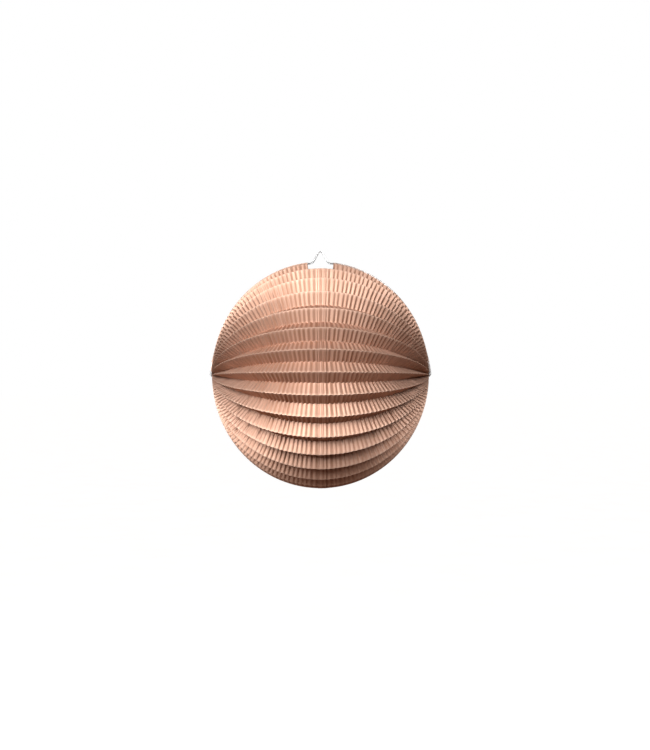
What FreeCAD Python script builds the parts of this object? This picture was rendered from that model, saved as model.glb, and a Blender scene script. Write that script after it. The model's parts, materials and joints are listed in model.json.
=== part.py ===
import FreeCAD, Part
import Sketcher
import math
import os

# Concertina paper lantern, 240 mm across.  A crimped foil-paper ball opens like a fan about
# its side-to-side axis.  Two wire bows carry the two end folds and meet above the ball in a
# pair of humps that hang on one hook.  A card disc in the bottom fold carries a candle cup.
#
# Millimetres.  The origin is the hanging point, under the tops of the two humps; +Z is up,
# +X runs along the pole axis on which every fold turns, and -Y is the front.  An angle
# called theta turns about the pole axis, from the front (-Y) through the top (+Z).

DIMENSIONS = [
    # the paper ball
    ("BallRadius", 125.0, "pole axis to a ridge, at the middle of the ball"),
    ("PaperHalfWidth", 119.8, "middle of the ball to the tips of the folds"),
    ("StripWidth", 15.0, "paper between a ridge crease and a valley crease"),
    ("PleatPitch", 10.75, "degrees between neighbouring ridges"),
    ("PleatCount", 33, "pleats from the front end ridge to the rear end ridge"),
    ("FirstRidge", 87.375, "theta of the front end ridge, degrees"),
    ("PaperThickness", 0.15, "crimped foil paper"),
    ("CreaseGap", 0.06, "half the slit between neighbouring pleats at a shared ridge"),
    ("TipArcAngle", 0.96, "arc angle at which the folds stop short of the pole axis, degrees"),
    ("SlotHalfWidth", 14.4, "half the cut through the end folds at the top"),
    ("SlottedPleats", 2, "pleats cut by the slot on each side of the top opening"),
    # the wire bows
    ("WireRadius", 0.6, "1.2 mm steel wire"),
    ("BowHalfWidth", 119.1, "half width of both bows' ellipse"),
    ("BowHeight", 124.1, "half height of both bows' ellipse"),
    ("EyePlace", 120.6, "middle of the ball to the front bow's eyes"),
    ("CornerPlace", 121.9, "middle of the ball to the rear bow's inward corners"),
    ("FlareReach", 18.0, "distance from the pole axis over which the bows flare outward"),
    ("HumpHeight", 136.4, "pole axis to the wire's centreline at the hump's top"),
    ("HumpHalfWidth", 12.5, "middle of the ball to where a hump leaves the arc"),
    ("HumpMeetingGap", 0.62, "each wire's distance from the middle plane at the hump's top"),
    ("EyeRadius", 1.25, "ring at each end of the front bow, on the wire's centreline"),
    ("PinBendRadius", 1.0, "bend between the rear bow's arc and each of its pins"),
    ("PinLength", 19.4, "the rear bow's ends, turned inward along the pole axis"),
    # the hems folded round the bows
    ("HemBoreRadius", 0.65, "inside of the paper hem"),
    ("HemRadius", 0.9, "outside of the paper hem"),
    ("HemTrim", 1.7, "paper of the end strips that goes into the hem"),
    ("HemTipAngle", 12.0, "arc angle where the hem stops short of the pole, degrees"),
    # the washers that keep the folds on the pins
    ("WasherHoleRadius", 0.7, "card washer"),
    ("WasherRadius", 4.0, "card washer"),
    ("WasherThickness", 0.8, "card washer"),
    ("WasherPlace", 103.7, "middle of the ball to the washer's inner face"),
    # the candle holder
    ("CardRadius", 13.0, "card disc glued into the bottom fold"),
    ("CardThickness", 1.5, "card disc"),
    ("CardDrop", 114.1, "pole axis down to the underside of the card disc"),
    ("PlateRadius", 11.6, "tinplate drip plate"),
    ("TinThickness", 0.4, "tinplate of the drip plate and the cup"),
    ("PlateLip", 2.0, "height of the drip plate with its turned-up rim"),
    ("CupBoreRadius", 6.6, "inside of the candle cup"),
    ("CupHeight", 12.4, "candle cup with its floor"),
    ("RivetRadius", 0.9, "rivet shank"),
    ("RivetHoleRadius", 0.95, "rivet holes in the card and the plate"),
    ("RivetHeadRadius", 1.7, "rivet head"),
    ("RivetHeadHeight", 0.5, "rivet head"),
    ("RivetPlace", 9.2, "middle of the plate to each rivet"),
]

# Dimensions that follow from the ones above.
DERIVED = [
    ("HangingHeight", "HumpHeight - WireRadius"),
    ("PlateRim", "PlateRadius - TinThickness"),
    ("CupRadius", "CupBoreRadius + TinThickness"),
    ("PlateFloor", "CardDrop - CardThickness"),
    ("CupFloor", "PlateFloor - TinThickness"),
    ("RivetLength", "CardThickness + TinThickness"),
]

document = FreeCAD.newDocument("paper_lantern")
sheet = document.addObject("Spreadsheet::Sheet", "Dimensions")
finished = []


def fill_sheet():
    """Writes every driving and derived dimension into the sheet, with its alias."""
    row = 0
    for alias, value, meaning in DIMENSIONS:
        row += 1
        sheet.set(f"A{row}", meaning)
        sheet.set(f"B{row}", str(value))
        sheet.setAlias(f"B{row}", alias)
    for alias, formula in DERIVED:
        row += 1
        sheet.set(f"A{row}", formula)
        sheet.set(f"B{row}", f"={formula}")
        sheet.setAlias(f"B{row}", alias)
    document.recompute()


def size(alias):
    """A dimension from the sheet."""
    return float(sheet.get(alias))


def finish(sub_part, label):
    """Lowers a sub-part, modelled round the ball's middle, under the hook and names it."""
    sub_part.setExpression("Placement.Base.z", "-Dimensions.HangingHeight")
    sub_part.Label = label
    finished.append(sub_part)


def feature(name, shape):
    """A construction shape that later features are made from."""
    made = document.addObject("Part::Feature", name)
    made.Shape = shape
    return made


def mirrored(name, source, normal):
    """The mirror image of an object in a plane through the origin."""
    image = document.addObject("Part::Mirroring", name)
    image.Source = source
    image.Normal = FreeCAD.Vector(*normal)
    return image


def compound(name, links):
    group = document.addObject("Part::Compound", name)
    group.Links = links
    return group


def cut(name, base, tool):
    result = document.addObject("Part::Cut", name)
    result.Base = base
    result.Tool = tool
    return result


def cylinder(name, radius, height):
    """A cylinder bound to two sheet formulas."""
    made = document.addObject("Part::Cylinder", name)
    made.setExpression("Radius", radius)
    made.setExpression("Height", height)
    return made


# ---------------------------------------------------------------- the folded paper


def pleat_section(arc_angle, hem_trim):
    """The outline of one pleat's two strips, square to the pleat at an arc angle.

    Ridges run on ellipses from the pole (0 degrees) to the middle of the ball (90 degrees).
    The section is a V of paper: its two outer ends are the ridges and its tip is the valley,
    one strip's width behind them.  An end pleat gives hem_trim of one strip to the hem.
    """
    arc = math.radians(arc_angle)
    half_pitch = math.radians(size("PleatPitch") / 2)
    strip = size("StripWidth")
    half_width = size("PaperHalfWidth")
    radius = size("BallRadius")
    spread = radius * math.sin(arc) * math.sin(half_pitch)
    depth = math.sqrt(strip**2 - spread**2)
    outer = spread - min(size("CreaseGap"), spread / 8)
    inner = outer - min(size("PaperThickness"), spread / 2)
    middle = FreeCAD.Vector(
        half_width * math.cos(arc), 0, radius * math.sin(arc) * math.cos(half_pitch)
    )
    outward = FreeCAD.Vector(radius * math.cos(arc), 0, half_width * math.sin(arc))
    outward.normalize()

    def place(out, aside):
        return middle + outward * out + FreeCAD.Vector(0, aside, 0)

    trim_in = -hem_trim * depth / strip
    trim_aside = hem_trim * spread / strip
    corners = [
        place(trim_in, trim_aside - outer),
        place(-depth, 0),
        place(0, outer),
        place(0, inner),
        place(-depth * inner / spread, 0),
        place(trim_in, trim_aside - inner),
    ]
    return Part.makePolygon(corners + corners[:1])


def half_pleat(name, last_angle, hem_trim=0.0):
    """The right sheet's half of a pleat, lofted from the pole to an arc angle."""
    section_count = 9
    crowding = 1.6  # the sections crowd towards the pole, where the folds change fastest
    first_angle = size("TipArcAngle")
    sections = []
    for step in range(section_count):
        share = (step / (section_count - 1)) ** crowding
        arc_angle = first_angle + (last_angle - first_angle) * share
        section = pleat_section(arc_angle, hem_trim)
        sections.append(feature(f"{name}_section_{step + 1}", section))
    loft = document.addObject("Part::Loft", name)
    loft.Sections = sections
    loft.Solid = True
    return loft


def both_sheets(name, right_half):
    """A pleat half from the right sheet with its mirror image from the left sheet."""
    return [right_half, mirrored(f"{name}_left", right_half, (1, 0, 0))]


def slot_arc_angle(half_width):
    """The arc angle at which an ellipse of this half width meets the side of the slot."""
    return math.degrees(math.acos(size("SlotHalfWidth") / half_width))


def paper_pleats():
    """The pleats from the front bow round the bottom to the rear bow."""
    slot_angle = slot_arc_angle(size("PaperHalfWidth"))
    whole = both_sheets("whole_pleat", half_pleat("whole_pleat", 90.0))
    slotted = both_sheets("slotted_pleat", half_pleat("slotted_pleat", slot_angle))
    last_right = half_pleat("last_pleat", slot_angle, size("HemTrim"))
    last = both_sheets("last_pleat", last_right)
    first_right = mirrored("first_pleat", last_right, (0, 1, 0))
    first = both_sheets("first_pleat", first_right)
    count = int(size("PleatCount"))
    cut_by_slot = int(size("SlottedPleats"))
    for number in range(1, count + 1):
        halves = whole
        if number <= cut_by_slot or number > count - cut_by_slot:
            halves = slotted
        if number == 1:
            halves = first
        if number == count:
            halves = last
        label = f"pleat_{number:02d}"
        pleat = compound(label, halves)
        pleat.Placement.Rotation = FreeCAD.Rotation(FreeCAD.Vector(1, 0, 0), 1)
        theta = f"(Dimensions.FirstRidge - ({number} - 0.5) * Dimensions.PleatPitch)"
        pleat.setExpression("Placement.Rotation.Angle", f"90 - {theta}")
        finish(pleat, label)


# ---------------------------------------------------------------- the wire bows


def bow_point(side, pole_place, arc_angle):
    """A point on a bow's centreline; side is -1 for the front bow and 1 for the rear one.

    The bow lies in the plane of its end ridge.  Near the poles it flares out to pole_place,
    and over the middle it rises in a bell-shaped hump that leans over to the other bow's.
    """
    arc = math.radians(arc_angle)
    theta = math.radians(90 + side * (90 - size("FirstRidge")))
    reach = size("BowHeight") * math.sin(arc)
    flare = pole_place - size("BowHalfWidth")
    flare *= math.exp(-((reach / size("FlareReach")) ** 2))
    x = size("BowHalfWidth") * math.cos(arc) + math.copysign(flare, math.cos(arc))
    y = -reach * math.cos(theta)
    z = reach * math.sin(theta)
    if abs(x) < size("HumpHalfWidth"):
        hump_sharpness = 3.2
        swell = math.cos(math.pi / 2 * x / size("HumpHalfWidth")) ** hump_sharpness
        top = size("BowHeight") * math.sin(theta)
        z += (size("HumpHeight") - top) * swell
        y += (side * size("HumpMeetingGap") - y) * swell
    return FreeCAD.Vector(x, y, z)


def bow_points(side, pole_place, first_angle, last_angle, count):
    """Evenly spaced points on a bow between two arc angles."""
    step = (last_angle - first_angle) / (count - 1)
    return [bow_point(side, pole_place, first_angle + step * n) for n in range(count)]


def bow_curve(side, pole_place, end_angle):
    """A bow's centreline from the right pole over the hump to the left pole.

    At both ends it runs straight toward the pole axis.
    """
    hump_margin = 1.3
    hump_x = hump_margin * size("HumpHalfWidth")
    hump_angle = math.degrees(math.acos(hump_x / size("BowHalfWidth")))
    points = bow_points(side, pole_place, end_angle, hump_angle, 28)
    points += bow_points(side, pole_place, hump_angle, 180 - hump_angle, 33)[1:]
    points += bow_points(side, pole_place, 180 - hump_angle, 180 - end_angle, 28)[1:]
    away = FreeCAD.Vector(0, points[0].y, points[0].z).normalize()
    curve = Part.BSplineCurve()
    curve.interpolate(
        Points=points, InitialTangent=away, FinalTangent=-away, Scale=False
    )
    return curve


def in_short_edges(curve):
    """A bow's curve as a wire, cut into short edges over the hump where it bends tightly."""
    middle = (curve.FirstParameter + curve.LastParameter) / 2
    step = size("HumpHalfWidth") / 2
    cuts = [middle + step * n for n in range(-4, 5)]
    cuts = [curve.FirstParameter] + cuts + [curve.LastParameter]
    return Part.Wire([curve.toShape(start, end) for start, end in zip(cuts, cuts[1:])])


def swept_round(name, path, radius):
    """A round bar of a given radius along a nearly flat path, without any twist."""
    first = path.Edges[0]
    start = first.valueAt(first.FirstParameter)
    along = first.tangentAt(first.FirstParameter)
    builder = Part.BRepOffsetAPI.MakePipeShell(path)
    builder.setBiNormalMode(FreeCAD.Vector(1, 0, 0).cross(along).normalize())
    builder.add(Part.Wire(Part.makeCircle(radius, start, along)), False, False)
    builder.build()
    builder.makeSolid()
    return feature(name, builder.shape())


def front_bow():
    """The front wire: an arc with its hump and an eye at each end."""
    end_angle = math.degrees(math.asin(size("EyeRadius") / size("BowHeight")))
    curve = bow_curve(-1, size("EyePlace"), end_angle)
    pieces = [swept_round("front_arc", in_short_edges(curve), size("WireRadius"))]
    for name, sign in (("right_eye", 1), ("left_eye", -1)):
        eye = document.addObject("Part::Torus", name)
        eye.setExpression("Radius1", "Dimensions.EyeRadius")
        eye.setExpression("Radius2", "Dimensions.WireRadius")
        eye.Placement.Rotation = FreeCAD.Rotation(FreeCAD.Vector(0, 1, 0), 90)
        eye.setExpression("Placement.Base.x", f"{sign} * Dimensions.EyePlace")
        pieces.append(eye)
    bow = document.addObject("Part::MultiFuse", "front_bow")
    bow.Shapes = pieces
    finish(bow, "front_bow")


def pin_path(end):
    """From a bow's end point down round the bend and inward along the pole axis."""
    bend = size("PinBendRadius")
    sign = math.copysign(1, end.x)
    away = FreeCAD.Vector(0, end.y, end.z).normalize()
    centre = end - FreeCAD.Vector(sign * bend, 0, 0)
    outward = (FreeCAD.Vector(sign, 0, 0) - away).normalize()
    on_axis = centre - away * bend
    tip = FreeCAD.Vector(sign * (size("CornerPlace") - size("PinLength")), 0, 0)
    turn = Part.Arc(end, centre + outward * bend, on_axis).toShape()
    return Part.Wire([turn, Part.makeLine(on_axis, tip)])


def rear_bow():
    """The rear wire: an arc with its hump, its ends bent inward as pins for the folds."""
    end_angle = math.degrees(math.asin(size("PinBendRadius") / size("BowHeight")))
    curve = bow_curve(1, size("CornerPlace"), end_angle)
    right_end = curve.value(curve.FirstParameter)
    left_end = curve.value(curve.LastParameter)
    bow = document.addObject("Part::MultiFuse", "rear_bow")
    bow.Shapes = [
        swept_round("right_pin", pin_path(right_end), size("WireRadius")),
        swept_round("rear_arc", in_short_edges(curve), size("WireRadius")),
        swept_round("left_pin", pin_path(left_end), size("WireRadius")),
    ]
    finish(bow, "rear_bow")


def hem(label, side, pole_place):
    """The paper folded round a bow from beside the slot to near the pole, on both sheets."""
    slot_angle = slot_arc_angle(size("BowHalfWidth"))
    curve = Part.BSplineCurve()
    curve.interpolate(bow_points(side, pole_place, size("HemTipAngle"), slot_angle, 24))
    path = Part.Wire(curve.toShape())
    outside = swept_round(f"{label}_outside", path, size("HemRadius"))
    inside = swept_round(f"{label}_inside", path, size("HemBoreRadius"))
    right = cut(f"{label}_right", outside, inside)
    finish(compound(label, both_sheets(label, right)), label)


def pole_washer(label, sign):
    """A card washer pressed on a pin, inside the tips of the folds."""
    rim = cylinder(f"{label}_rim", "Dimensions.WasherRadius", "Dimensions.WasherThickness")
    hole = cylinder(
        f"{label}_hole", "Dimensions.WasherHoleRadius", "Dimensions.WasherThickness"
    )
    washer = cut(label, rim, hole)
    washer.Placement.Rotation = FreeCAD.Rotation(FreeCAD.Vector(0, 1, 0), 90 * sign)
    washer.setExpression("Placement.Base.x", f"{sign} * Dimensions.WasherPlace")
    finish(washer, label)


# ---------------------------------------------------------------- the candle holder


def circles_sketch(body, name, radii, rivet_holes=False):
    """A sketch of circles round the origin, with the two rivet holes if wanted."""
    sketch = body.newObject("Sketcher::SketchObject", name)
    planes = body.Origin.OriginFeatures
    plane = next(item for item in planes if item.Role == "XY_Plane")
    sketch.AttachmentSupport = [(plane, "")]
    sketch.MapMode = "FlatFace"
    up = FreeCAD.Vector(0, 0, 1)
    for alias in radii:
        circle = Part.Circle(FreeCAD.Vector(0, 0, 0), up, size(alias))
        index = sketch.addGeometry(circle)
        sketch.addConstraint(Sketcher.Constraint("Coincident", index, 3, -1, 1))
        bound = sketch.addConstraint(Sketcher.Constraint("Radius", index, size(alias)))
        sketch.setExpression(f"Constraints[{bound}]", f"Dimensions.{alias}")
    if rivet_holes:
        for sign in (1, -1):
            add_rivet_hole(sketch, sign)
    return sketch


def add_rivet_hole(sketch, sign):
    """One rivet hole on the sketch's vertical axis, above or below the origin."""
    centre = FreeCAD.Vector(0, sign * size("RivetPlace"), 0)
    hole = Part.Circle(centre, FreeCAD.Vector(0, 0, 1), size("RivetHoleRadius"))
    index = sketch.addGeometry(hole)
    sketch.addConstraint(Sketcher.Constraint("PointOnObject", index, 3, -2))
    constraints = [
        (Sketcher.Constraint("Radius", index, size("RivetHoleRadius")), "RivetHoleRadius"),
        (
            Sketcher.Constraint("DistanceY", -1, 1, index, 3, sign * size("RivetPlace")),
            "RivetPlace",
        ),
    ]
    for number, (constraint, alias) in enumerate(constraints):
        bound = sketch.addConstraint(constraint)
        factor = sign if number == 1 else 1
        sketch.setExpression(f"Constraints[{bound}]", f"{factor} * Dimensions.{alias}")


def padded_body(label, height_below_axis, pads):
    """A body made of pads that all rise from one plane below the pole axis."""
    body = document.addObject("PartDesign::Body", label)
    for number, (radii, rivet_holes, height) in enumerate(pads, start=1):
        pad = body.newObject("PartDesign::Pad", f"{label}_pad_{number}")
        pad.Profile = circles_sketch(body, f"{label}_sketch_{number}", radii, rivet_holes)
        pad.setExpression("Length", f"Dimensions.{height}")
    finish(body, label)
    lowered = f"-Dimensions.HangingHeight - Dimensions.{height_below_axis}"
    body.setExpression("Placement.Base.z", lowered)


def candle_holder():
    """A card disc, a drip plate with a turned-up rim, a cup and two rivets."""
    padded_body("base_card", "CardDrop", [(["CardRadius"], True, "CardThickness")])
    padded_body(
        "candle_plate",
        "PlateFloor",
        [(["PlateRadius"], True, "TinThickness"), (["PlateRadius", "PlateRim"], False, "PlateLip")],
    )
    padded_body(
        "candle_cup",
        "CupFloor",
        [(["CupRadius"], False, "TinThickness"), (["CupRadius", "CupBoreRadius"], False, "CupHeight")],
    )


def plate_rivets():
    """Two rivets that hold the drip plate on the card, with a head at each end."""
    shank = cylinder("rivet_shank", "Dimensions.RivetRadius", "Dimensions.RivetLength")
    pieces = [shank]
    for name, height in (("top", "Dimensions.RivetLength"), ("foot", "-Dimensions.RivetHeadHeight")):
        head = cylinder(
            f"rivet_{name}_head", "Dimensions.RivetHeadRadius", "Dimensions.RivetHeadHeight"
        )
        head.setExpression("Placement.Base.z", height)
        pieces.append(head)
    rivet = document.addObject("Part::MultiFuse", "front_rivet")
    rivet.Shapes = pieces
    rivet.setExpression("Placement.Base.y", "-Dimensions.RivetPlace")
    rivets = compound("plate_rivets", [rivet, mirrored("rear_rivet", rivet, (0, 1, 0))])
    finish(rivets, "plate_rivets")
    rivets.setExpression(
        "Placement.Base.z", "-Dimensions.HangingHeight - Dimensions.CardDrop"
    )


# ---------------------------------------------------------------- build and export


def check_document():
    """Stops if anything in the document failed to build."""
    for item in document.Objects:
        if "Invalid" in item.State or "Error" in item.State:
            raise RuntimeError(f"{item.Name} did not build: {item.State}")
    for sub_part in finished:
        if sub_part.Shape.isNull() or not sub_part.Shape.isValid():
            raise RuntimeError(f"{sub_part.Label} has no valid shape")


def export_parts():
    os.makedirs("parts", exist_ok=True)
    for sub_part in finished:
        sub_part.Shape.exportStep(f"parts/{sub_part.Label}.step")


fill_sheet()
paper_pleats()
front_bow()
rear_bow()
hem("front_hem", -1, size("EyePlace"))
hem("rear_hem", 1, size("CornerPlace"))
pole_washer("pole_washer_right", 1)
pole_washer("pole_washer_left", -1)
candle_holder()
plate_rivets()
document.recompute()
check_document()
export_parts()
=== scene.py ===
import json
import math

import bpy
import numpy as np
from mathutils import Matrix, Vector


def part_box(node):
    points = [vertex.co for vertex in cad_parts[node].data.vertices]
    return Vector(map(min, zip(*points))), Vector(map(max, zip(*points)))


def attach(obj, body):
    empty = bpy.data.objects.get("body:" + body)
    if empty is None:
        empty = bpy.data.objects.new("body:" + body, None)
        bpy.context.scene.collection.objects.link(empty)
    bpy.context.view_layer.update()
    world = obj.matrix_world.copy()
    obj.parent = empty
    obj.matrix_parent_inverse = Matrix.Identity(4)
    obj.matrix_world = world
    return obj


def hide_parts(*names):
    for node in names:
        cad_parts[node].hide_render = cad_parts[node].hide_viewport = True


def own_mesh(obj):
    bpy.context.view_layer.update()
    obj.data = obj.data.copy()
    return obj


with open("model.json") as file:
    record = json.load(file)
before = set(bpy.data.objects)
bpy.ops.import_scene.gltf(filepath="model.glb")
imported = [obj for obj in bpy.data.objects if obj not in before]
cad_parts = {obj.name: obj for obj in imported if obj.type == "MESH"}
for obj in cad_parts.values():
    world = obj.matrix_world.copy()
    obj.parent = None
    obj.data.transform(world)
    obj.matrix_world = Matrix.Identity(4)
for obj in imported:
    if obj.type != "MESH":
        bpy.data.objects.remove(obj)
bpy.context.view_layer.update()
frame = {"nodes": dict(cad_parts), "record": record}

# A concertina lantern of crimped foil paper.  Every pleat is a pair of strips with a valley
# crease between two ridges, in two sheets, left and right, that lap at the middle.
# Metres.  theta turns about the pole axis from the front (-Y) through the top (+Z).  An arc
# angle runs along a ridge, from 0 at a pole to a right angle at the middle of the ball.

MM = 0.001

# ---------------------------------------------------------------- sizes from the frame

joints = {joint["name"]: joint for joint in frame["record"]["behaviour"]["joints"]}
fan_fold = joints["fan_fold"]
AXIS_Z = fan_fold["pos_m"][2]
PLEATS = sorted(name for name in frame["nodes"] if name.startswith("pleat_"))
COUNT = len(PLEATS)
CLOSED_PITCH = math.radians(0.3)
PITCH = math.radians(fan_fold["range_deg"][1]) / COUNT + CLOSED_PITCH
FIRST_RIDGE = math.pi / 2 - (2 * math.pi - COUNT * PITCH) / 2
bottom_low, bottom_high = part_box(PLEATS[COUNT // 2])
HALF_WIDTH = bottom_high.x
RADIUS = (AXIS_Z - bottom_low.z) / math.cos(PITCH / 2)

# ---------------------------------------------------------------- sizes of the paper

STRIP = 15.0 * MM           # paper between a ridge crease and a valley crease
THICKNESS = 0.12 * MM
RIDGE_GAP = 0.03 * MM       # half the slit between neighbouring pleats at a ridge
CREST_ROUND = 0.22 * MM     # how far the fold's rounding lowers a ridge
VALLEY_ROUND = 0.15 * MM
SLOT_HALF_WIDTH = 14.4 * MM
SLOTTED = 2                 # pleats cut by the slot at each end of the fan
HEM_TRIM = 1.2 * MM         # edge of the end strips that is folded round the wire
HEM_RADIUS = 0.74 * MM      # from the wire's centre to the paper folded round it
POLE_RADIUS = 2.1 * MM      # the folds stop here, round the pin
CRIMPS = 39                 # from the middle to each pole
RIDGE_SWING = 0.30 * MM     # the crimps' swing at a ridge, and at a valley
VALLEY_SWING = 0.90 * MM
RIDGE_HOLD = 3.0            # how close to the ridge the crimps keep their full swing
SWING_FADE = 6.5 * MM       # the crimps die away within this distance of the pole axis
CRIMP_LEAN = 0.35           # makes every crimp steeper on one side
CRIMP_SHARPNESS = 0.88      # 0 for round crimps, 1 for sharp ones
LAP_FLATTENING = 0.55       # how much the crimps are pressed flat over the lap
HEM_CRIMPING = 0.09         # how much the crimps thicken the hems
TONE_SPREAD = 0.35          # how much of a facet's tone is its own random tone; the rest is painted shade
SHADE_TURN = 0.66            # share of the way to the left pole where the painted facet shade changes over to the other facets
COLUMNS_PER_CRIMP = 6
LAP_RIGHT = 2.8 * MM        # the right sheet runs this far past the middle, over the left
LAP_LEFT = 6.6 * MM         # and the left sheet this far, under the right
LAP_LIFT = 0.17 * MM
LAP_FADE = 2.5 * MM
SEAM_WIDTH = 0.45 * MM      # dark painted shadow line where one sheet ends over or under the other

# ---------------------------------------------------------------- sizes of the wire bows

BOW_HALF_WIDTH = HALF_WIDTH - 0.7 * MM
BOW_HEIGHT = RADIUS - 0.9 * MM
# side, flare at the poles, and how far from the pole axis the hem stops
BOWS = {"front": (-1, 1.5 * MM, 3.6 * MM), "rear": (1, 2.8 * MM, 14.0 * MM)}
FLARE_REACH = 18.0 * MM

SHARP_ANGLE = math.radians(62)      # edges sharper than this are not shaded smooth

rng = np.random.default_rng(24)


def arc_table():
    """Arc length along a ridge from the middle, for arc angles from the pole past the middle."""
    angles = np.linspace(0.0, math.pi * 0.56, 6000)
    speed = np.hypot(HALF_WIDTH * np.sin(angles), RADIUS * np.cos(angles))
    steps = (speed[1:] + speed[:-1]) / 2 * np.diff(angles)
    length = np.concatenate([[0.0], np.cumsum(steps)])
    middle = np.interp(math.pi / 2, angles, length)
    return angles, middle - length


ARC_ANGLES, ARC_LENGTHS = arc_table()
QUARTER = ARC_LENGTHS[0]
CRIMP_PITCH = QUARTER / CRIMPS


def angle_at(length):
    """The arc angle at a length along a ridge from the middle."""
    return np.interp(-length, -ARC_LENGTHS, ARC_ANGLES)


def length_at(angle):
    """The length along a ridge from the middle to an arc angle."""
    return float(np.interp(angle, ARC_ANGLES, ARC_LENGTHS))


class Crimping:
    """The crimps pressed across one whole sheet before it was folded.

    Every pleat of the sheet shares the crimp lines; how deep they are varies a little along
    the sheet and from crease to crease.
    """

    def __init__(self):
        self.knots = np.arange(-4, CRIMPS + 4)
        self.shift = rng.normal(0.0, 0.085, len(self.knots))
        self.depth = rng.uniform(0.72, 1.25, len(self.knots))
        self.ridge_depth = rng.uniform(0.7, 1.3, (COUNT + 1, len(self.knots)))
        self.valley_depth = rng.uniform(0.82, 1.18, (COUNT, len(self.knots)))
        self.tones = rng.uniform(0.0, 1.0, (COUNT, 2 * len(self.knots)))

    def along(self, values, phase):
        """Values given once per crimp, at places in between."""
        return np.interp(phase, self.knots, values)

    def wave(self, length):
        """The crimps' wave, from -1 to 1, and how many crimps from the middle it is."""
        phase = length / CRIMP_PITCH
        turn = 2 * math.pi * (phase + self.along(self.shift, phase))
        turn = turn + CRIMP_LEAN * np.sin(turn)
        wave = np.arcsin(CRIMP_SHARPNESS * np.sin(turn)) / math.asin(CRIMP_SHARPNESS)
        return wave, phase

    def swing(self, length, ridge_or_valley, index):
        """The sideways swing of one crease line, in metres."""
        wave, phase = self.wave(length)
        if ridge_or_valley == "ridge":
            local, size = self.ridge_depth[index], RIDGE_SWING
        else:
            local, size = self.valley_depth[index], VALLEY_SWING
        lap = 1 - LAP_FLATTENING * np.exp(-((length - 2 * MM) / (5 * MM)) ** 2)
        return size * wave * self.along(self.depth, phase) * self.along(local, phase) * lap


CRIMPED = {1: Crimping(), -1: Crimping()}


# ---------------------------------------------------------------- mesh helpers


def strip_rows():
    """Places across a strip, from the valley (0) to the ridge (1), closer near the creases."""
    arm = np.array([0.0, 0.012, 0.04, 0.2, 0.4, 0.6, 0.8, 0.955, 0.985, 1.0])
    return np.concatenate([-arm[::-1], arm[1:]])


def grid_normals(points):
    """Unit normals of a grid of points, rows x columns x 3."""
    across = np.gradient(points, axis=0)
    along = np.gradient(points, axis=1)
    normal = np.cross(along, across)
    return normal / np.maximum(np.linalg.norm(normal, axis=2, keepdims=True), 1e-12)


def shell_faces(rows, columns, first, flip):
    """Faces of a closed thin shell whose outer grid is followed by its inner grid."""
    index = first + np.arange(rows * columns).reshape(rows, columns)
    inner = index + rows * columns
    outside = np.stack([index[:-1, :-1], index[:-1, 1:], index[1:, 1:], index[1:, :-1]], -1)
    inside = (outside + rows * columns)[..., ::-1]
    rims = []
    border = [
        (index[0, :], inner[0, :], False),
        (index[-1, :], inner[-1, :], True),
        (index[:, 0], inner[:, 0], True),
        (index[:, -1], inner[:, -1], False),
    ]
    for top, low, turned in border:
        quad = np.stack([top[:-1], low[:-1], low[1:], top[1:]], -1)
        rims.append(quad[:, ::-1] if turned else quad)
    rims = np.concatenate(rims)
    faces = [outside.reshape(-1, 4), inside.reshape(-1, 4), rims]
    if flip:
        faces = [part[:, ::-1] for part in faces]
    kinds = np.concatenate([np.full(len(part), kind) for kind, part in enumerate(faces)])
    return np.concatenate(faces), kinds


class PaperMesh:
    """Collects shells and turns them into one object with foil, back and edge materials."""

    def __init__(self):
        self.points = []
        self.faces = []
        self.kinds = []
        self.marks = {"ridge": [], "seam_shadow": [], "tone_and_shade": []}
        self.count = 0

    def add_shell(self, points, normals, lift, marks, flip=False):
        """Adds paper of THICKNESS on both sides of a grid of points raised by lift."""
        rows, columns = points.shape[:2]
        for side in (0.5, -0.5):
            layer = points + normals * (lift[..., None] + side * THICKNESS)
            self.points.append(layer.reshape(-1, 3))
            for name, values in marks.items():
                self.marks[name].append(values.reshape(-1))
        faces, kinds = shell_faces(rows, columns, self.count, flip)
        self.faces.append(faces)
        self.kinds.append(kinds)
        self.count += 2 * rows * columns

    def build(self, name, materials):
        """Makes the object, with the marks as attributes for the materials."""
        mesh = bpy.data.meshes.new(name)
        points = np.concatenate(self.points)
        faces = np.concatenate(self.faces)
        mesh.from_pydata(points.tolist(), [], faces.tolist())
        for material in materials:
            mesh.materials.append(material)
        mesh.polygons.foreach_set("material_index", np.concatenate(self.kinds).astype(np.int32))
        mesh.polygons.foreach_set("use_smooth", np.ones(len(faces), bool))
        for mark, values in self.marks.items():
            layer = mesh.attributes.new(mark, "FLOAT", "POINT")
            layer.data.foreach_set("value", np.concatenate(values).astype(np.float32))
        mesh.update()
        mesh.set_sharp_from_angle(angle=SHARP_ANGLE)
        piece = bpy.data.objects.new(name, mesh)
        bpy.context.scene.collection.objects.link(piece)
        return piece


# ---------------------------------------------------------------- the pleats


def pleat_theta(number):
    """theta of a pleat's valley; pleats are numbered from 1 at the front bow."""
    return FIRST_RIDGE - (number - 0.5) * PITCH


def sheet_lengths(side, number):
    """Arc lengths from the middle at which one sheet of a pleat has its columns."""
    last = length_at(math.asin(POLE_RADIUS / RADIUS))
    if is_slotted(number):
        first = length_at(math.acos(SLOT_HALF_WIDTH / HALF_WIDTH))
    else:
        first = -LAP_RIGHT if side > 0 else -LAP_LEFT
    columns = int((last - first) / CRIMP_PITCH * COLUMNS_PER_CRIMP) + 1
    lengths = np.linspace(first, last, columns)
    if first > 0:
        return lengths
    steps = np.linspace(-2, 2, 9) * SEAM_WIDTH
    return np.unique(np.concatenate([lengths, seam_length(side) + steps]))


def seam_length(side):
    """Where the other sheet's edge lies over or under a sheet, measured from the middle."""
    return LAP_LEFT if side > 0 else LAP_RIGHT


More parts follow.
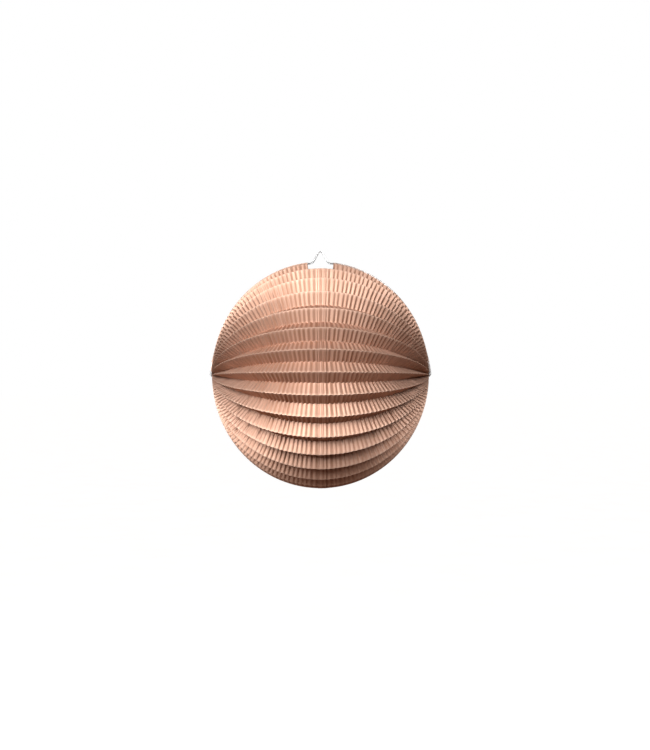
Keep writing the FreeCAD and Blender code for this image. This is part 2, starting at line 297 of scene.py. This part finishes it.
def pleat_grid(side, number, lengths, rows):
    """Points of one sheet of a pleat, with its marks."""
    arc = angle_at(lengths)[None, :]
    share = np.abs(rows)[:, None]
    half_pitch = PITCH / 2
    reach = RADIUS * np.sin(arc)
    spread = reach * math.sin(half_pitch)
    depth = np.sqrt(STRIP**2 - spread**2)
    # both creases are rounded: a hyperbola through the two strips that meet there
    slope = depth / spread
    aside = share * (spread - RIDGE_GAP * np.minimum(1.0, spread / (2 * MM)))
    from_ridge = (1 - share) * spread
    crest = CREST_ROUND / slope
    ridge_drop = np.hypot(from_ridge, crest) - from_ridge
    hollow = VALLEY_ROUND / slope
    valley_rise = np.hypot(share * spread, hollow) - share * spread
    out = -depth * (1 - share) + slope * (valley_rise - ridge_drop)
    scale = np.hypot(RADIUS * np.cos(arc), HALF_WIDTH * np.sin(arc))
    out_x = RADIUS * np.cos(arc) / scale
    out_reach = HALF_WIDTH * np.sin(arc) / scale
    x = HALF_WIDTH * np.cos(arc) + out_x * out
    height = reach * math.cos(half_pitch) + out_reach * out
    aside = aside * np.sign(rows)[:, None]
    distance = np.hypot(height, aside)
    theta = pleat_theta(number) + np.arctan2(aside, height)
    # the crimps swing every strip round the pole axis
    crimping = CRIMPED[side]
    valley = crimping.swing(lengths, "valley", number - 1)
    before = crimping.swing(lengths, "ridge", number - 1)
    after = crimping.swing(lengths, "ridge", number)
    ridge = np.where(rows[:, None] > 0, before, after)
    hold = share**RIDGE_HOLD
    swing = valley * (1 - hold) + ridge * hold
    swing = swing * (1 - np.exp(-((distance / SWING_FADE) ** 1.5)))
    theta = theta + swing / distance
    points = np.stack(
        [side * x, -distance * np.cos(theta), distance * np.sin(theta) + AXIS_Z], -1
    )
    # the mark for the painted highlight along each ridge crease
    near_ridge = np.exp(-((1 - share) * STRIP / (0.7 * MM)) ** 2) + 0 * arc
    return points, {"ridge": near_ridge, **sheet_marks(side, number, lengths, rows)}


def is_slotted(number):
    """Whether the slot at the top cuts through a pleat."""
    return number <= SLOTTED or number > COUNT - SLOTTED


def sheet_marks(side, number, lengths, rows):
    """Painted shadow lines at the seams, and each facet's tone with its painted shade.

    Every other facet is painted browner, as shade on the facets that face away from the key light;
    on the left sheet the pattern changes over toward the pole, where the light falls the other way.
    The rest of each facet's tone is its own, at random.
    """
    # painted shadow: a dark line at the step where the other sheet's edge lies over or under this one
    seam_shadow = np.exp(-(((lengths - seam_length(side)) / SEAM_WIDTH) ** 2))
    if is_slotted(number):
        seam_shadow = 0 * seam_shadow
    crimping = CRIMPED[side]
    phase = lengths / CRIMP_PITCH
    facet = np.floor(2 * (phase + crimping.along(crimping.shift, phase)) + 0.5).astype(int)
    # painted shade: marks the facets that face away from the key light for the browner colour
    painted_shade = (facet[None, :] + (rows[:, None] > 0) + (side < 0)) % 2
    # toward the left pole the key light falls on the other facets, so the painted shade changes over
    if side < 0:
        turned = np.clip((SHADE_TURN - np.cos(angle_at(lengths))) / 0.2, -1, 1)
        painted_shade = 0.5 + turned * (painted_shade - 0.5)
    tones = crimping.tones[number - 1]
    tone_and_shade = TONE_SPREAD * tones[facet % len(tones)][None, :] + (1 - TONE_SPREAD) * painted_shade
    return {"seam_shadow": seam_shadow[None, :] + 0 * tone_and_shade, "tone_and_shade": tone_and_shade}


def lap_lift(side, number, lengths):
    """The right sheet rides over the left one where they lap."""
    if side < 0 or is_slotted(number):
        return np.zeros_like(lengths)
    fall = (lengths - LAP_LEFT) / LAP_FADE
    return LAP_LIFT / (1 + np.exp(4 * (fall - 0.5)))


def trimmed_rows(number):
    """An end pleat stops short of the bow by the paper folded round the wire."""
    rows = strip_rows()
    limit = 1 - HEM_TRIM / STRIP
    if number == 1:
        rows = np.append(rows[rows < limit - 0.02], limit)
    if number == COUNT:
        rows = np.insert(rows[rows > -limit + 0.02], 0, -limit)
    return rows


def pleat(number, materials):
    """One pleat of both sheets."""
    paper = PaperMesh()
    rows = trimmed_rows(number)
    for side in (-1, 1):
        lengths = sheet_lengths(side, number)
        points, marks = pleat_grid(side, number, lengths, rows)
        normals = grid_normals(points) * side
        lift = lap_lift(side, number, lengths)[None, :] + np.zeros((len(rows), 1))
        paper.add_shell(points, normals, lift, marks, flip=side < 0)
    name = PLEATS[number - 1]
    piece = paper.build(f"paper_{name}", materials)
    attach(piece, f"fold_{number:02d}")
    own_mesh(piece)
    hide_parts(name)


# ---------------------------------------------------------------- the hems


def bow_frames(side, flare, arc):
    """Along a bow's wire: its centreline, and the directions outward and toward the folds."""
    theta = math.pi / 2 + side * (math.pi / 2 - FIRST_RIDGE)
    reach = BOW_HEIGHT * np.sin(arc)
    flared = flare * np.exp(-((reach / FLARE_REACH) ** 2))
    x = BOW_HALF_WIDTH * np.cos(arc) + flared
    away = np.array([0.0, -math.cos(theta), math.sin(theta)])
    centre = x[:, None] * np.array([1.0, 0.0, 0.0]) + reach[:, None] * away
    centre[:, 2] += AXIS_Z
    along = np.gradient(centre, axis=0)
    along /= np.linalg.norm(along, axis=1, keepdims=True)
    turning = np.array([0.0, math.sin(theta), math.cos(theta)])
    to_folds = np.broadcast_to(turning * side, centre.shape)
    outward = np.cross(to_folds, along) * side
    return centre, outward, to_folds


def hem_profile(arc, open_at_top):
    """Across a hem: from the end strip's edge round the wire, outward and toward the folds."""
    spread = np.minimum(RADIUS * np.sin(arc) * math.sin(PITCH / 2), STRIP)
    lean = np.arcsin(spread / STRIP)
    ridge_rise = RADIUS - BOW_HEIGHT
    edge = np.stack([ridge_rise - HEM_TRIM * np.cos(lean), HEM_TRIM * np.sin(lean)], -1)
    first, last = (100, 322) if open_at_top else (42, -235)
    turn = np.radians(np.linspace(first, last, 15))
    ring = HEM_RADIUS * np.stack([np.cos(turn), np.sin(turn)], -1)
    ring = np.broadcast_to(ring[:, None, :], (len(turn), len(arc), 2))
    return np.concatenate([edge[None], (edge[None] + 2 * ring[:1]) / 3, ring])


def hem(name, materials):
    """The edge of the end strip folded round a bow, on both sheets.

    On the left sheet it stays open along the top, so the wire shows there.
    """
    side, flare, hem_stop = BOWS[name]
    number = 1 if side < 0 else COUNT
    paper = PaperMesh()
    for sheet in (-1, 1):
        lengths = sheet_lengths(sheet, number)
        lengths = lengths[lengths < length_at(math.asin(hem_stop / RADIUS))]
        arc = angle_at(lengths)
        centre, outward, to_folds = bow_frames(side, flare, arc)
        profile = hem_profile(arc, open_at_top=sheet < 0)
        wave = CRIMPED[sheet].wave(lengths)[0]
        swell = 1 + HEM_CRIMPING * np.maximum(wave, -0.2)
        profile = profile * swell[None, :, None]
        points = centre + profile[..., :1] * outward + profile[..., 1:] * to_folds
        points = points * np.array([sheet, 1, 1])
        normals = grid_normals(points)
        # the whole hem gets half of the painted ridge highlight
        ridge = 0.5 * np.ones(points.shape[:2])
        rows = np.ones(len(points))
        marks = {"ridge": ridge, **sheet_marks(sheet, number, lengths, rows)}
        from_wire = points[2:, 0] - centre[0] * np.array([sheet, 1, 1])
        inward = float(np.sum(from_wire * normals[2:, 0])) < 0
        normals = -normals if inward else normals
        paper.add_shell(points, normals, np.zeros(points.shape[:2]), marks, flip=inward)
    piece = paper.build(f"paper_{name}_hem", materials)
    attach(piece, f"{name}_frame")
    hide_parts(f"{name}_hem")


# ---------------------------------------------------------------- materials


def material(name):
    """A new node material with its Principled shader."""
    made = bpy.data.materials.new(name)
    made.use_nodes = True
    return made, made.node_tree, made.node_tree.nodes["Principled BSDF"]


def node(tree, kind, **values):
    """Adds a node; values that name an input set it, and others are properties."""
    made = tree.nodes.new(kind)
    for key, value in values.items():
        if key in made.inputs:
            made.inputs[key].default_value = value
        else:
            setattr(made, key, value)
    return made


def mark(tree, name):
    """One of the paper's marks, as a factor."""
    return node(tree, "ShaderNodeAttribute", attribute_name=name).outputs["Fac"]


def math_node(tree, operation, *values):
    """Arithmetic on numbers and sockets."""
    made = node(tree, "ShaderNodeMath", operation=operation)
    for socket, value in zip(made.inputs, values):
        if isinstance(value, (int, float)):
            socket.default_value = value
        else:
            tree.links.new(value, socket)
    return made.outputs[0]


def ramp(tree, factor, low, high, dark, light):
    """Maps low..high of a factor to two colours."""
    scale = node(tree, "ShaderNodeMapRange")
    scale.inputs["From Min"].default_value = low
    scale.inputs["From Max"].default_value = high
    tree.links.new(factor, scale.inputs["Value"])
    blend = node(tree, "ShaderNodeMix", data_type="RGBA")
    blend.inputs["A"].default_value = (*dark, 1)
    blend.inputs["B"].default_value = (*light, 1)
    tree.links.new(scale.outputs[0], blend.inputs["Factor"])
    return blend.outputs["Result"]


def mix_colour(tree, factor, first, second):
    """Mixes a colour socket with a fixed colour."""
    blend = node(tree, "ShaderNodeMix", data_type="RGBA")
    tree.links.new(factor, blend.inputs["Factor"])
    tree.links.new(first, blend.inputs["A"])
    blend.inputs["B"].default_value = (*second, 1)
    return blend.outputs["Result"]


def noise(tree, scale, detail=3.0, stretch=(1, 1, 1)):
    """Noise in object space, so the grain keeps its size on every piece."""
    place = node(tree, "ShaderNodeTexCoord")
    mapping = node(tree, "ShaderNodeMapping")
    mapping.inputs["Scale"].default_value = stretch
    tree.links.new(place.outputs["Object"], mapping.inputs["Vector"])
    made = node(tree, "ShaderNodeTexNoise", Scale=scale, Detail=detail)
    tree.links.new(mapping.outputs[0], made.inputs["Vector"])
    return made.outputs["Fac"]


def bump(tree, height, distance, strength):
    """Small relief that the shader sees."""
    made = node(tree, "ShaderNodeBump", Strength=strength, Distance=distance)
    tree.links.new(height, made.inputs["Height"])
    return made.outputs["Normal"]


def foil_face():
    """The rose-gold foil side: a soft metallic sheen with pressed grain, a painted highlight along the
    ridge creases, painted shade on every other crimp facet and painted shadow lines at the seams.
    """
    made, tree, shader = material("rose_gold_foil")
    cloud = noise(tree, 45.0, 4.0)
    grain = noise(tree, 2600.0, 2.0)
    colour = ramp(tree, cloud, 0.3, 0.7, (0.395, 0.257, 0.197), (0.435, 0.287, 0.222))
    # painted shade: the browner colour on every other crimp facet, mixed with each facet's own random
    # tone
    colour = mix_colour(tree, mark(tree, "tone_and_shade"), colour, (0.305, 0.175, 0.120))
    # painted highlight: the foil is paler along the ridge creases
    crest_highlight = math_node(tree, "MULTIPLY", mark(tree, "ridge"), 0.5)
    colour = mix_colour(tree, crest_highlight, colour, (0.58, 0.43, 0.35))
    # painted shadow: a dark line along the step where one sheet ends over or under the other
    seam_shadow = math_node(tree, "MULTIPLY", mark(tree, "seam_shadow"), 0.5)
    colour = mix_colour(tree, seam_shadow, colour, (0.16, 0.08, 0.045))
    tree.links.new(colour, shader.inputs["Base Color"])
    rough = math_node(tree, "MULTIPLY_ADD", grain, 0.12, 0.62)
    tree.links.new(rough, shader.inputs["Roughness"])
    shader.inputs["Metallic"].default_value = 1.0
    shader.inputs["Specular Tint"].default_value = (0.70, 0.46, 0.35, 1)
    tree.links.new(bump(tree, grain, 0.03 * MM, 0.5), shader.inputs["Normal"])
    return made


def paper_back():
    """The unprinted inside of the paper: pale, matt, fibrous."""
    made, tree, shader = material("paper_back")
    fibre = noise(tree, 900.0, 5.0)
    colour = ramp(tree, fibre, 0.3, 0.7, (0.33, 0.26, 0.22), (0.40, 0.32, 0.275))
    tree.links.new(colour, shader.inputs["Base Color"])
    shader.inputs["Roughness"].default_value = 0.85
    tree.links.new(bump(tree, fibre, 0.04 * MM, 0.6), shader.inputs["Normal"])
    return made


def paper_edge():
    """The cut edge, where the paper's core shows beside the foil."""
    made, tree, shader = material("paper_edge")
    fibre = noise(tree, 1500.0, 2.0)
    colour = ramp(tree, fibre, 0.3, 0.7, (0.30, 0.20, 0.15), (0.37, 0.255, 0.20))
    tree.links.new(colour, shader.inputs["Base Color"])
    shader.inputs["Roughness"].default_value = 0.8
    return made


def steel_wire():
    """Drawn galvanised wire: fine streaks along it and a dull zinc bloom."""
    made, tree, shader = material("galvanised_wire")
    bloom = noise(tree, 300.0, 4.0)
    streaks = noise(tree, 2500.0, 2.0, (0.15, 1, 1))
    colour = ramp(tree, bloom, 0.3, 0.75, (0.36, 0.365, 0.37), (0.50, 0.505, 0.51))
    tree.links.new(colour, shader.inputs["Base Color"])
    rough = math_node(tree, "MULTIPLY_ADD", streaks, 0.25, 0.28)
    tree.links.new(rough, shader.inputs["Roughness"])
    shader.inputs["Metallic"].default_value = 0.95
    tree.links.new(bump(tree, streaks, 0.02 * MM, 0.4), shader.inputs["Normal"])
    return made


def tinplate():
    """Tinned sheet with a faint spangle and fine rolling marks."""
    made, tree, shader = material("tinplate")
    spangle = node(tree, "ShaderNodeTexVoronoi", Scale=420.0)
    place = node(tree, "ShaderNodeTexCoord")
    tree.links.new(place.outputs["Object"], spangle.inputs["Vector"])
    colour = ramp(tree, spangle.outputs["Distance"], 0.0, 0.8, (0.44, 0.44, 0.43), (0.54, 0.54, 0.53))
    tree.links.new(colour, shader.inputs["Base Color"])
    rolled = noise(tree, 1800.0, 2.0, (1, 0.05, 1))
    rough = math_node(tree, "MULTIPLY_ADD", rolled, 0.2, 0.22)
    tree.links.new(rough, shader.inputs["Roughness"])
    shader.inputs["Metallic"].default_value = 1.0
    tree.links.new(bump(tree, rolled, 0.01 * MM, 0.4), shader.inputs["Normal"])
    return made


def grey_card():
    """Recycled card: flecked, matt, fibrous."""
    made, tree, shader = material("grey_card")
    fibre = noise(tree, 700.0, 6.0)
    flecks = noise(tree, 2400.0, 1.0)
    colour = ramp(tree, fibre, 0.3, 0.7, (0.27, 0.22, 0.165), (0.37, 0.31, 0.24))
    fleck = math_node(tree, "GREATER_THAN", flecks, 0.68)
    colour = mix_colour(tree, fleck, colour, (0.15, 0.12, 0.095))
    tree.links.new(colour, shader.inputs["Base Color"])
    shader.inputs["Roughness"].default_value = 0.9
    tree.links.new(bump(tree, fibre, 0.08 * MM, 0.7), shader.inputs["Normal"])
    return made


def dress_cad_nodes():
    """Gives the carried-over CAD nodes their materials by record slot."""
    finishes = {"steel_wire": steel_wire(), "tinplate": tinplate(), "card": grey_card()}
    for entry in frame["record"]["subparts"]:
        finish = finishes.get(entry["material_slot"])
        if finish:
            mesh = frame["nodes"][entry["node"]].data
            mesh.materials.clear()
            mesh.materials.append(finish)


# ---------------------------------------------------------------- studio

# softboxes aimed at the ball: degrees round from the front, degrees up, width, height, watts
SOFTBOXES = {
    "key": (-42, 23, 1.6, 1.2, 146),
    "fill": (32, 26, 1.0, 1.1, 66),
    "rear": (172, 16, 1.6, 1.2, 120),
}
SOFTBOX_DISTANCE = 2.3
GLOW_ABOVE = (0.10, 0.055, 0.038)   # the dim, warm surroundings that light the ball
GLOW_BELOW = (0.10, 0.045, 0.027)
FLOOR_BOUNCE = (0.12, 0.07, 0.05)   # the floor's colour to everything but the camera
CAMERA_DISTANCE = 12 * RADIUS
CAMERA_ASIDE = 5 * MM               # the ball stands a little left of the picture's middle
PICTURE_HEIGHT = 829.5 * MM         # at the ball


def softbox(name, azimuth, elevation, width, height, power):
    """A rectangle of soft light, facing the middle of the ball."""
    data = bpy.data.lights.new(name, "AREA")
    data.shape = "RECTANGLE"
    data.size, data.size_y = width, height
    data.energy = power
    turn, rise = math.radians(azimuth), math.radians(elevation)
    away = Vector((math.sin(turn) * math.cos(rise), -math.cos(turn) * math.cos(rise), math.sin(rise)))
    light = bpy.data.objects.new(name, data)
    light.location = Vector((0, 0, AXIS_Z)) + away * SOFTBOX_DISTANCE
    light.rotation_euler = away.to_track_quat("Z", "Y").to_euler()
    bpy.context.scene.collection.objects.link(light)


def glow(tree):
    """Surroundings that fade from above to below."""
    direction = node(tree, "ShaderNodeTexCoord")
    split = node(tree, "ShaderNodeSeparateXYZ")
    tree.links.new(direction.outputs["Generated"], split.inputs[0])
    colour = ramp(tree, split.outputs["Z"], -0.6, 0.9, GLOW_BELOW, GLOW_ABOVE)
    lighting = node(tree, "ShaderNodeBackground")
    tree.links.new(colour, lighting.inputs["Color"])
    return lighting.outputs[0]


def studio():
    """White backdrop for the camera, dim warm surroundings for the paper, and the softboxes."""
    scene = bpy.context.scene
    scene.view_settings.view_transform = "Standard"
    scene.view_settings.look = "None"
    world = bpy.data.worlds.new("studio")
    world.use_nodes = True
    scene.world = world
    tree = world.node_tree
    tree.nodes.clear()
    seen = node(tree, "ShaderNodeBackground", Color=(1, 1, 1, 1), Strength=1.0)
    path = node(tree, "ShaderNodeLightPath")
    choose = node(tree, "ShaderNodeMixShader")
    tree.links.new(path.outputs["Is Camera Ray"], choose.inputs[0])
    tree.links.new(glow(tree), choose.inputs[1])
    tree.links.new(seen.outputs[0], choose.inputs[2])
    out = node(tree, "ShaderNodeOutputWorld")
    tree.links.new(choose.outputs[0], out.inputs["Surface"])
    for name, numbers in SOFTBOXES.items():
        softbox(name, *numbers)
    pale_floor()


def pale_floor():
    """A pale floor far below the hanging ball, evenly bright to the camera."""
    floor_mesh = bpy.data.meshes.new("floor")
    reach, drop = 60.0, -1.1
    corners = [(-reach, -reach, drop), (reach, -reach, drop), (reach, reach, drop), (-reach, reach, drop)]
    floor_mesh.from_pydata(corners, [], [(0, 1, 2, 3)])
    floor = bpy.data.objects.new("floor", floor_mesh)
    pale, floor_tree, shader = material("pale_floor")
    colour = ramp(floor_tree, noise(floor_tree, 6.0), 0.3, 0.7, (0.98, 0.98, 0.98), (1.0, 1.0, 1.0))
    floor_tree.links.new(colour, shader.inputs["Emission Color"])
    path = node(floor_tree, "ShaderNodeLightPath")
    floor_tree.links.new(path.outputs["Is Camera Ray"], shader.inputs["Emission Strength"])
    shader.inputs["Base Color"].default_value = (*FLOOR_BOUNCE, 1)
    shader.inputs["Roughness"].default_value = 0.8
    floor_mesh.materials.append(pale)
    bpy.context.scene.collection.objects.link(floor)


def camera():
    """Level with the middle of the ball and straight in front of it."""
    data = bpy.data.cameras.new("camera")
    data.sensor_width = 36
    data.lens = data.sensor_width * CAMERA_DISTANCE / PICTURE_HEIGHT
    eye = bpy.data.objects.new("camera", data)
    eye.location = (CAMERA_ASIDE, -CAMERA_DISTANCE, AXIS_Z)
    eye.rotation_euler = (math.pi / 2, 0, 0)
    bpy.context.scene.collection.objects.link(eye)
    bpy.context.scene.camera = eye


paper_materials = [foil_face(), paper_back(), paper_edge()]
for number in range(1, COUNT + 1):
    pleat(number, paper_materials)
for bow_name in BOWS:
    hem(bow_name, paper_materials)
dress_cad_nodes()
studio()
camera()
